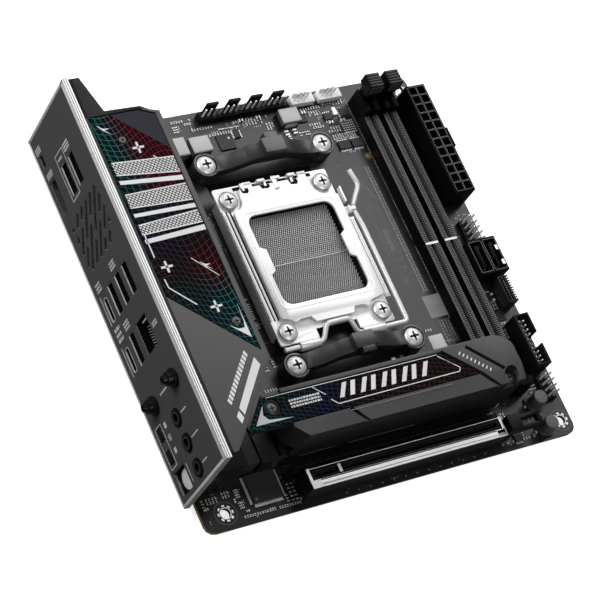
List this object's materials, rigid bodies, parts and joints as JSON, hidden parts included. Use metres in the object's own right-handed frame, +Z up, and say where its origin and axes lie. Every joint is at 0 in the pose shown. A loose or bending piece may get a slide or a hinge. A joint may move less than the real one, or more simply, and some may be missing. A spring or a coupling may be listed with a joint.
{
  "type": "computer motherboard",
  "caption": "Small square computer mainboard with processor socket and lever, memory and expansion slots, rear port plate, tall port cover, stacked storage heatsink and cooler brackets",
  "frame": {"origin": "centre of the whole object's footprint, at its lowest face, the underside of the socket backplate", "axes": "+X from the rear port plate across the board towards the power connector, +Y from the expansion slot edge to the fan header edge, +Z up out of the component face"},
  "size_m": [0.1786, 0.1714, 0.0463],
  "materials": {
    "board": "black solder mask over glass fibre, satin",
    "black_plastic": "black moulded plastic, satin",
    "white_plastic": "white moulded plastic",
    "steel": "bright plated steel",
    "cover_metal": "dark grey satin coating",
    "dark_metal": "near-black satin coating",
    "printed_panel": "dark glossy panel with a printed grid pattern",
    "shutter_plastic": "light grey moulded plastic"
  },
  "bodies": {
    "board": {"antenna_connector_1": "dark_metal", "antenna_connector_2": "dark_metal", "atx_power_connector": "black_plastic", "audio_jack_block": "black_plastic", "audio_shield": "cover_metal", "bracket_screw_1": "steel", "bracket_screw_2": "steel", "bracket_screw_3": "steel", "bracket_screw_4": "steel", "chipset": "dark_metal", "chipset_heatsink": "dark_metal", "cooler_bracket_lower": "black_plastic", "cooler_bracket_upper": "black_plastic", "cpu_power_connector": "black_plastic", "dimm_slot_a": "black_plastic", "dimm_slot_b": "black_plastic", "fan_header_1": "black_plastic", "fan_header_2": "black_plastic", "fan_header_3": "black_plastic", "fan_header_4": "black_plastic", "flash_switch": "black_plastic", "hdmi_usb_stack": "black_plastic", "io_cover": "cover_metal", "io_cover_panel": "printed_panel", "io_shield": "cover_metal", "lan_usb_stack": "black_plastic", "lighting_header_1": "white_plastic", "lighting_header_2": "white_plastic", "m2_carrier_board": "board", "m2_heatsink": "cover_metal", "m2_panel": "printed_panel", "m2_socket": "black_plastic", "optical_port": "black_plastic", "pcb": "board", "pcie_slot": "black_plastic", "pcie_slot_shield": "steel", "sata_ports": "black_plastic", "socket_backplate": "dark_metal", "socket_base": "black_plastic", "socket_frame": "steel", "socket_screw_1": "steel", "socket_screw_2": "steel", "socket_screw_3": "steel", "socket_screw_4": "steel", "typec_header": "steel", "usb3_header": "black_plastic", "usb_stack": "black_plastic", "vrm_heatsink": "dark_metal", "wifi_module": "dark_metal"},
    "lever": {"load_lever": "steel"},
    "plate": {"load_plate": "steel"},
    "latch_a": {"dimm_latch_a": "black_plastic"},
    "latch_b": {"dimm_latch_b": "black_plastic"},
    "card_latch": {"pcie_latch": "black_plastic"},
    "catch": {"m2_catch": "black_plastic"},
    "shutter": {"optical_shutter": "shutter_plastic"},
    "button_1": {"panel_button_1": "black_plastic"},
    "button_2": {"panel_button_2": "black_plastic"},
    "small_button": {"flash_button": "black_plastic"}
  },
  "joints": [
    {"name": "load_lever_hinge", "type": "hinge", "parent": "board", "child": "lever", "pos_m": [0.0345, -0.02541, 0.0096], "axis": [1, 0, 0], "range_deg": [0, 85]},
    {"name": "load_plate_hinge", "type": "hinge", "parent": "board", "child": "plate", "pos_m": [0.0043, 0.0453, 0.0117], "axis": [-1, 0, 0], "range_deg": [0, 100]},
    {"name": "dimm_latch_a_hinge", "type": "hinge", "parent": "board", "child": "latch_a", "pos_m": [0.0608, 0.07379, 0.009], "axis": [-1, 0, 0], "range_deg": [0, 30]},
    {"name": "dimm_latch_b_hinge", "type": "hinge", "parent": "board", "child": "latch_b", "pos_m": [0.0701, 0.07379, 0.009], "axis": [-1, 0, 0], "range_deg": [0, 30]},
    {"name": "card_latch_hinge", "type": "hinge", "parent": "board", "child": "card_latch", "pos_m": [0.0539, -0.07886, 0.0066], "axis": [0, 1, 0], "range_deg": [0, 20]},
    {"name": "m2_catch_hinge", "type": "hinge", "parent": "board", "child": "catch", "pos_m": [-0.0347, -0.0581, 0.0143], "axis": [0, 0, 1], "range_deg": [0, 90]},
    {"name": "optical_shutter_hinge", "type": "hinge", "parent": "board", "child": "shutter", "pos_m": [-0.0824, -0.06491, 0.0139], "axis": [0, -1, 0], "range_deg": [0, 75], "stiffness_Nm_per_rad": 0.0005},
    {"name": "panel_button_1_slide", "type": "slide", "parent": "board", "child": "button_1", "axis": [1, 0, 0], "range_m": [0, 0.001], "stiffness_N_per_m": 400},
    {"name": "panel_button_2_slide", "type": "slide", "parent": "board", "child": "button_2", "axis": [1, 0, 0], "range_m": [0, 0.001], "stiffness_N_per_m": 400},
    {"name": "flash_button_slide", "type": "slide", "parent": "board", "child": "small_button", "axis": [1, 0, 0], "range_m": [0, 0.0008], "stiffness_N_per_m": 400}
  ]
}
